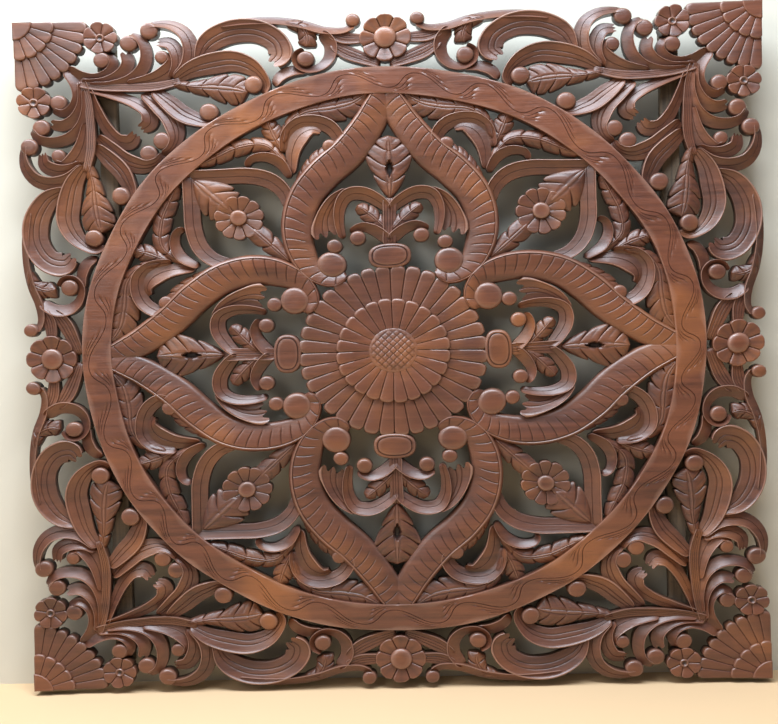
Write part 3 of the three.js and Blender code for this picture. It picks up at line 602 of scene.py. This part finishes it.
class Carving:
    """One visible piece, gathered from shells and written as one mesh. The backs of the shells
    take turns at a few depths, hairs apart, so that no two that meet lie in one plane."""

    FOOT_STEP, FOOT_STEPS = 0.018, 11
    shells = 0

    def __init__(self, name):
        self.name, self.points, self.wear, self.quads, self.triangles = name, [], [], [], []
        self.count = 0

    def put(self, points, wear, looped=False):
        """Takes in one shell, in metres, turned the right way out by its volume's sign."""
        flat, tone = points.reshape(-1, 3), np.array(wear).reshape(-1)
        if not looped:
            flat = np.vstack([flat, points[0].mean(0), points[-1].mean(0)])
            tone = np.append(tone, [wear[0].mean(), wear[-1].mean()])
        quads, triangles = shell_faces(*points.shape[:2], looped)
        if signed_volume(flat - flat.mean(0), quads, triangles) < 0:
            quads, triangles = quads[:, ::-1], triangles[:, ::-1]
        self.points.append(flat)
        self.wear.append(tone)
        self.quads.append(quads + self.count)
        self.triangles.append(triangles + self.count)
        self.count += len(flat)

    def add(self, shape, places=ONE_PLACE, looped=False):
        """Puts a shell of the pattern in each of its places, with its back at the next depth."""
        grid, wear = shape
        for quarter, mirrored in places:
            foot = self.FOOT_STEP * (Carving.shells % self.FOOT_STEPS)
            Carving.shells += 1
            footed = np.concatenate([grid[..., :2], np.maximum(grid[..., 2:], foot)], -1)
            self.put(wander(placed(footed, quarter, mirrored)), wear, looped)

    def finish(self, material, sharp=50):
        """Writes the mesh, with faces smooth but for edges sharper than `sharp` degrees."""
        points, quads, triangles = (np.concatenate(x) for x in (self.points, self.quads, self.triangles))
        corners = np.concatenate([quads.reshape(-1), triangles.reshape(-1)])
        starts = np.concatenate([np.arange(len(quads)) * 4,
                                 len(quads) * 4 + np.arange(len(triangles)) * 3])
        mesh = bpy.data.meshes.new(self.name)
        mesh.vertices.add(len(points))
        mesh.vertices.foreach_set("co", points.astype(np.float32).reshape(-1))
        mesh.loops.add(len(corners))
        mesh.loops.foreach_set("vertex_index", corners.astype(np.int32))
        mesh.polygons.add(len(starts))
        mesh.polygons.foreach_set("loop_start", starts.astype(np.int32))
        mesh.update(calc_edges=True)
        mesh.validate()
        # Per point: wear and a painted highlight where positive, painted shade where negative.
        wear = mesh.attributes.new("wear", "FLOAT", "POINT")
        wear.data.foreach_set("value", np.concatenate(self.wear).astype(np.float32))
        mesh.polygons.foreach_set("use_smooth", np.ones(len(mesh.polygons), bool))
        mesh.set_sharp_from_angle(angle=math.radians(sharp))
        mesh.materials.append(material)
        piece = bpy.data.objects.new(self.name, mesh)
        bpy.context.scene.collection.objects.link(piece)
        return piece


# ---- finishes ----

class Number:
    """A shader socket that carries a number. An expression on it adds Math nodes."""

    def __init__(self, finish, socket):
        self.finish, self.socket = finish, socket

    def step(self, operation, *values):
        return self.finish.number("Math", {"operation": operation}, dict(enumerate(values)))

    def __add__(self, other):
        return self.step("ADD", self, other)

    def __sub__(self, other):
        return self.step("SUBTRACT", self, other)

    def __rsub__(self, other):
        return self.step("SUBTRACT", other, self)

    def __mul__(self, other):
        return self.step("MULTIPLY", self, other)

    def __truediv__(self, other):
        return self.step("DIVIDE", self, other)

    def __pow__(self, other):
        return self.step("POWER", self, other)

    __radd__, __rmul__ = __add__, __mul__

    def clamped(self):
        return self.step("MINIMUM", self.step("MAXIMUM", self, 0.0), 1.0)

    def above(self, low, high):
        """0 up to `low`, 1 from `high`, and a straight rise between them."""
        return ((self - low) / (high - low)).clamped()


class Finish:
    """A material: node() adds any node, and numbers are worked out with Number."""

    def __init__(self, name):
        self.material = bpy.data.materials.new(name)
        self.material.use_nodes = True
        self.tree = self.material.node_tree
        self.tree.nodes.clear()

    def node(self, kind, settings=(), inputs=()):
        """Adds a node of a type, sets its settings first, then the values or links of its sockets."""
        made = self.tree.nodes.new("ShaderNode" + kind)
        for name, value in dict(settings).items():
            if name == "stops":
                ramp = made.color_ramp.elements
                while len(ramp) < len(value):
                    ramp.new(0.5)
                for stop, (place, colour) in zip(ramp, value):
                    stop.position, stop.color = place, (*colour, 1)
            else:
                setattr(made, name, value)
        for name, value in dict(inputs).items():
            value = value.socket if isinstance(value, Number) else value
            if isinstance(value, bpy.types.NodeSocket):
                self.tree.links.new(value, made.inputs[name])
            else:
                made.inputs[name].default_value = value
        return made

    def number(self, kind, settings=(), inputs=(), output=0):
        return Number(self, self.node(kind, settings, inputs).outputs[output])

    def mix(self, share, first, second, blend="MIX"):
        """Mixes two colours, each a socket or three numbers."""
        padded = [(*c, 1) if isinstance(c, tuple) else c for c in (first, second)]
        made = self.node("Mix", {"data_type": "RGBA", "blend_type": blend},
                         {0: share, 6: padded[0], 7: padded[1]})
        return made.outputs[2]

    def stretched(self, size):
        """Object coordinates, in metres, times a factor for each axis."""
        place = self.node("TexCoord").outputs["Object"]
        return self.node("Mapping", {}, {"Vector": place, "Scale": size}).outputs[0]

    def noise(self, size, detail=3.0, roughness=0.55, distortion=0.0):
        return self.number("TexNoise", {}, {"Vector": self.stretched(size), "Scale": 1.0,
                                            "Detail": detail, "Roughness": roughness,
                                            "Distortion": distortion})

    def close(self, colour, roughness, height, distance, **uniform):
        """The shader itself, with a bump of `height` and values that are the same all over."""
        normal = self.node("Bump", {}, {"Height": height, "Distance": distance, "Strength": 1.0})
        shader = self.node("BsdfPrincipled", {}, {
            "Base Color": colour, "Roughness": roughness, "Normal": normal.outputs[0], **uniform})
        output = self.node("OutputMaterial")
        self.tree.links.new(shader.outputs[0], output.inputs[0])
        return self.material


def stained_wood():
    """Dark red-brown stain over a straight grain, with patches where the stain is thin and more
    orange. Ridges are lighter with wear and a painted highlight; cuts and the parts towards the
    back are darker with painted shade."""
    thickness = 0.03
    finish = Finish("stained_wood")
    wear = finish.number("Attribute", {"attribute_name": "wear"}, {}, output=2)
    depth = finish.number("SeparateXYZ", {}, {0: finish.stretched((1, 1, 1))}, output=1) * -1 / thickness
    grain = finish.noise((5, 60, 95), 5, 0.6, 0.4)
    pores = finish.noise((28, 240, 520), 2, 0.6)
    cloud = finish.noise((4.2, 9, 6.5), 4, 0.6, 0.8)
    patch = finish.noise((7, 16, 9), 3, 0.5, 0.3).above(0.52, 0.7)
    colour = finish.mix(grain.above(0.3, 0.72), (0.062, 0.019, 0.011), (0.175, 0.056, 0.028))
    colour = finish.mix(cloud.above(0.38, 0.66) * 0.55, colour, (0.215, 0.070, 0.028))
    colour = finish.mix(patch * 0.6, colour, (0.34, 0.118, 0.034))
    colour = finish.mix(pores.above(0.6, 0.75) * 0.35, colour, (0.035, 0.012, 0.008))
    # The attribute's positive part is wear and a painted highlight on ridges; its negative part is
    # painted shade in the cuts.
    ridge_wear_and_highlight = wear.clamped()
    cut = (wear * -1).clamped()
    # Ridges lighter and pinker: wear and a painted highlight.
    colour = finish.mix(ridge_wear_and_highlight * 0.5, colour, (0.40, 0.24, 0.18))
    # Painted shade: darker towards the flat back, where the deep parts lie in shade.
    shade = (1 - depth).clamped() ** 0.9
    colour = finish.mix(shade * 0.95, colour, (0.013, 0.008, 0.007))
    # Painted shade in the cuts and grooves.
    colour = finish.mix(cut * 0.9, colour, (0.014, 0.008, 0.007))
    roughness = 0.30 + grain * 0.12 + shade * 0.3 + cut * 0.2 - ridge_wear_and_highlight * 0.05
    tools = finish.noise((55, 60, 55), 2, 0.5)
    height = grain * 0.5 + pores * -0.35 + tools * 0.9
    return finish.close(colour, roughness, height, 0.0009,
                        **{"Coat Weight": 0.35, "Coat Roughness": 0.28, "Specular IOR Level": 0.5})


def batten_wood():
    """Plain sawn wood, grey-brown, with the grain upright and saw marks across it."""
    finish = Finish("batten_wood")
    grain = finish.noise((150, 60, 5), 5, 0.6, 0.5)
    cloud = finish.noise((12, 12, 3), 3, 0.5)
    saw = finish.noise((30, 20, 420), 2, 0.5)
    colour = finish.mix(grain.above(0.3, 0.7), (0.05, 0.036, 0.024), (0.17, 0.12, 0.075))
    colour = finish.mix(cloud.above(0.45, 0.7) * 0.5, colour, (0.11, 0.075, 0.045))
    colour = finish.mix(saw.above(0.55, 0.7) * 0.3, colour, (0.04, 0.03, 0.02))
    return finish.close(colour, 0.72 + grain * 0.1, grain * 0.7 + saw * 0.5, 0.0008)


# ---- the pieces ----

def ridden(piece, slot, *nodes):
    """Ties a piece to the panel's one body and hides the nodes that it stands for. The slot is not used.
    """
    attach(piece, "root")
    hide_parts(*nodes)
    return piece


def carved(piece, wood):
    """Writes a piece of the carving, which stands for the carved board with the others."""
    ridden(piece.finish(wood), "stained_wood", "carved_board")


def sorted_scrolls():
    """The scrolls by place: inside the ring, along the panel's edges, and towards its corners."""
    along_edge = 55
    groups = {"inner_scrolls": [], "edge_scrolls": [], "corner_scrolls": []}
    for form in SCROLLS.values():
        places = np.array(form["guide"])[:, :2]
        if np.hypot(*places.T).max() < RING_INNER:
            groups["inner_scrolls"].append(form)
        elif places[:, 0].mean() < along_edge:
            groups["edge_scrolls"].append(form)
        else:
            groups["corner_scrolls"].append(form)
    return groups


def scroll_pieces(name, chosen, wood):
    piece = Carving(name)
    for form in chosen:
        piece.add(scroll(**form), EIGHT_PLACES)
    carved(piece, wood)


def bead_piece(wood):
    piece = Carving("beads")
    for at in [form["bead"] for form in SCROLLS.values() if "bead" in form] + [OGEE_BEAD]:
        piece.add(bead(at), EIGHT_PLACES)
    carved(piece, wood)


def leaf_piece(wood):
    piece = Carving("leaves")
    for form in LEAVES.values():
        piece.add(leaf(**form), EIGHT_PLACES)
    for form in QUARTER_LEAVES.values():
        piece.add(leaf(**form), FOUR_PLACES)
    piece.add(scroll(**PALMETTE_STALK), FOUR_PLACES)
    carved(piece, wood)


def ogee_piece(wood):
    piece = Carving("ogee_bands")
    piece.add(ogee_band(OGEE_GUIDE), EIGHT_PLACES)
    carved(piece, wood)


def ring_piece(wood):
    piece = Carving("wave_ring")
    piece.add(wave_ring(), looped=True)
    carved(piece, wood)


def rosette_piece(wood):
    """The middle rosette: two tiers of petals and a cross-hatched dome."""
    piece = Carving("middle_rosette")
    piece.add(petals((0, 0), 36, ROSETTE_OUTER, ROSETTE_INNER - 1, 3.9, 3.7, groove=0.5, roundness=5))
    piece.add(petals((0, 0), 24, ROSETTE_INNER, ROSETTE_DOME - 1, 4.6, 4.2, groove=0.45, roundness=5))
    shares = np.linspace(1, 0.02, 30)
    dome = [(ROSETTE_DOME, 0, 0), (ROSETTE_DOME, 4.1, 0)]
    # The dome is a little lighter all over: wear and a painted highlight.
    dome += [(ROSETTE_DOME * share, 4.3 + 0.75 * (1 - share ** 2.5), 0.3) for share in shares * 0.98]
    piece.add(turned((0, 0), dome, 120, crosshatch))
    carved(piece, wood)


def flower_piece(wood):
    """Four flowers in their frames, four rosettes at the middle of the sides, eight small ones."""
    piece = Carving("flowers")
    at = (FLOWER_CENTRE, FLOWER_CENTRE)
    piece.add(petals(at, 11, FLOWER_RADIUS, 1.6, 3.7, 2.9, tip=0.12, groove=0.4, cup=0.2), FOUR_PLACES)
    # Third column of each knob: painted shade at the foot and in the dimple, wear and a painted highlight
    # on the shoulder.
    knob = [(2.4, 0, 0), (2.4, 3.5, -0.6), (2.3, 3.85, 0.4), (2.05, 4.1, 0.9), (1.6, 4.2, 0.3),
            (1.0, 4.15, 0), (0.3, 4.12, 0)]
    piece.add(turned(at, knob, 28), FOUR_PLACES)
    at = (0, EDGE_ROSETTE_V)
    piece.add(petals(at, 8, EDGE_ROSETTE_RADIUS, 2.2, 4.4, 3.6, tip=0.12, groove=0.5, cup=0.25,
                     centre_line=0.15, begin=np.pi / 8), FOUR_PLACES)
    knob = [(3.1, 0, 0), (3.1, 4.0, -0.6), (3.0, 4.4, 0.3), (2.7, 4.7, 0.8), (2.1, 4.92, 0.3),
            (1.2, 5.0, 0), (0.3, 5.02, 0)]
    piece.add(turned(at, knob, 32), FOUR_PLACES)
    at = SMALL_FLOWER_AT
    piece.add(petals(at, 7, SMALL_FLOWER_RADIUS, 1.0, 4.2, 3.7, tip=0.14, groove=0.4, cup=0.25),
              EIGHT_PLACES)
    knob = [(1.3, 0, 0), (1.3, 3.8, -0.7), (1.22, 4.2, 0.5), (0.95, 4.35, 0.8), (0.6, 4.1, -0.5),
            (0.2, 3.9, -1)]
    piece.add(turned(at, knob, 20), EIGHT_PLACES)
    carved(piece, wood)


def fan_piece(wood):
    """A quarter fan in each corner: two rows of petals round a quarter button."""
    piece = Carving("corner_fans")
    piece.add(fan_row(9, FAN_OUTER, FAN_INNER - 1.5, 3.8, 3.7, groove=0.3, roundness=4), FOUR_PLACES)
    piece.add(fan_row(5, FAN_INNER, FAN_BUTTON - 1, 4.5, 4.3, groove=0.3, roundness=4), FOUR_PLACES)
    piece.add(fan_row(1, FAN_BUTTON, 0.5, 4.9, 4.9, tip=0, groove=0.05, cup=0), FOUR_PLACES)
    carved(piece, wood)


def bar_piece(wood):
    piece = Carving("bars")
    piece.add(bar(), FOUR_PLACES)
    carved(piece, wood)


def batten_piece(node, wood):
    """A batten: its rectangle is planed off at the corners, and runs the length of the node."""
    low, high = (np.array(corner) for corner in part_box(node))
    chamfer, first_ring, rings = 0.0015, 0.01, 60
    half = (high - low) / 2
    corner = np.array([(1, -1), (1, 1), (-1, 1), (-1, -1)])
    inward = np.array([[(-1, 0), (0, 1)], [(0, -1), (-1, 0)], [(1, 0), (0, -1)], [(0, 1), (1, 0)]])
    outline = (corner[:, None] * half[:2] + chamfer * inward).reshape(-1, 2)
    along = np.concatenate([[0, chamfer], np.linspace(first_ring, 2 * half[2] - first_ring, rings),
                            [2 * half[2] - chamfer, 2 * half[2]]])
    shrink = np.where((along == 0) | (along == along[-1]), chamfer, 0)[:, None, None]
    ring = outline - np.sign(outline) * shrink
    mid = (low + high) / 2
    grid = np.stack([mid[0] + ring[..., 0], mid[1] + ring[..., 1],
                     low[2] + along[:, None] + 0 * ring[..., 0]], -1)
    piece = Carving(node + "_planed")
    piece.put(grid, np.zeros(grid.shape[:2]))
    ridden(piece.finish(wood, 30), "batten_wood", node)


# ---- the setting: floor, backdrop, light and camera ----

def plain(name, colour, see_through_back=False):
    """A matt finish for the setting. A backdrop shows from its front only."""
    finish = Finish(name)
    shader = finish.node("BsdfDiffuse", {}, {"Color": (*colour, 1)}).outputs[0]
    if see_through_back:
        behind = finish.node("NewGeometry").outputs["Backfacing"]
        shader = finish.node("MixShader", {}, {
            0: behind, 1: shader, 2: finish.node("BsdfTransparent").outputs[0]}).outputs[0]
    finish.tree.links.new(shader, finish.node("OutputMaterial").inputs[0])
    return finish.material


def sheet(name, corners, material):
    mesh = bpy.data.meshes.new(name)
    mesh.from_pydata(corners, [], [(0, 1, 2, 3)])
    mesh.materials.append(material)
    made = bpy.data.objects.new(name, mesh)
    bpy.context.scene.collection.objects.link(made)


def setting():
    """A pale sand-coloured floor just under the panel and a pale wall close behind it."""
    floor_z = CAD_BOX[0][2] - 0.008
    wall_y, wide, high, deep = 0.05, 6.0, 3.0, 5.0
    sheet("floor", [(-wide, -deep, floor_z), (wide, -deep, floor_z), (wide, deep, floor_z),
                    (-wide, deep, floor_z)], plain("pale_floor", (0.66, 0.46, 0.27)))
    sheet("wall", [(-wide, wall_y, floor_z), (wide, wall_y, floor_z), (wide, wall_y, high),
                   (-wide, wall_y, high)], plain("pale_wall", (0.62, 0.59, 0.50), True))


def area_light(name, place, target, size, energy, colour):
    light = bpy.data.lights.new(name, "AREA")
    light.shape, light.size, light.size_y = "RECTANGLE", *size
    light.energy, light.color = energy, colour
    made = bpy.data.objects.new(name, light)
    aim = np.array(place) - np.array(target)
    made.matrix_world = aimed(place, aim / np.linalg.norm(aim))
    bpy.context.scene.collection.objects.link(made)


def aimed(place, back):
    """A matrix at `place` whose own Z axis is `back`, with its X axis level."""
    side = np.cross((0, 0, 1), back)
    side /= np.linalg.norm(side)
    up = np.cross(back, side)
    matrix = np.eye(4)
    matrix[:3, 0], matrix[:3, 1], matrix[:3, 2], matrix[:3, 3] = side, up, back, place
    return Matrix(matrix.tolist())


def lights():
    area_light("sky", (-0.4, -0.8, 1.7), (0, 0, 0.0), (2.6, 0.8), 120, (0.78, 0.88, 1.0))
    area_light("key", (-1.5, -2.6, 1.2), (0, 0, 0), (1.4, 1.4), 26, (1.0, 0.97, 0.94))
    area_light("low", (0.6, -1.7, -0.9), (0, 0, 0), (2.4, 0.8), 22, (1.0, 0.62, 0.34))
    world = bpy.data.worlds.new("room")
    world.use_nodes = True
    world.node_tree.nodes["Background"].inputs["Color"].default_value = (0.92, 0.94, 1.0, 1)
    world.node_tree.nodes["Background"].inputs["Strength"].default_value = 0.2
    bpy.context.scene.world = world


def camera():
    """Stands almost square to the panel, a little above its middle, and tipped by a degree."""
    place, yaw, pitch, roll, lens = (0.050, -2.2, 0.057), -1.49, -1.97, -1.43, 62.39
    data = bpy.data.cameras.new("camera")
    data.lens, data.sensor_width = lens, 36
    made = bpy.data.objects.new("camera", data)
    yaw, pitch, roll = (math.radians(angle) for angle in (yaw, pitch, roll))
    turn = (Matrix.Rotation(-yaw, 4, "Z") @ Matrix.Rotation(math.pi / 2 + pitch, 4, "X")
            @ Matrix.Rotation(roll, 4, "Z"))
    made.matrix_world = Matrix.Translation(place) @ turn
    bpy.context.scene.collection.objects.link(made)
    bpy.context.scene.camera = made


def make():
    camera()
    lights()
    setting()
    bpy.context.scene.view_settings.view_transform = "Standard"
    wood, plain_wood = stained_wood(), batten_wood()
    for name, chosen in sorted_scrolls().items():
        scroll_pieces(name, chosen, wood)
    bead_piece(wood)
    leaf_piece(wood)
    ogee_piece(wood)
    ring_piece(wood)
    rosette_piece(wood)
    flower_piece(wood)
    fan_piece(wood)
    bar_piece(wood)
    for node in ("batten_left", "batten_right"):
        batten_piece(node, plain_wood)


make()
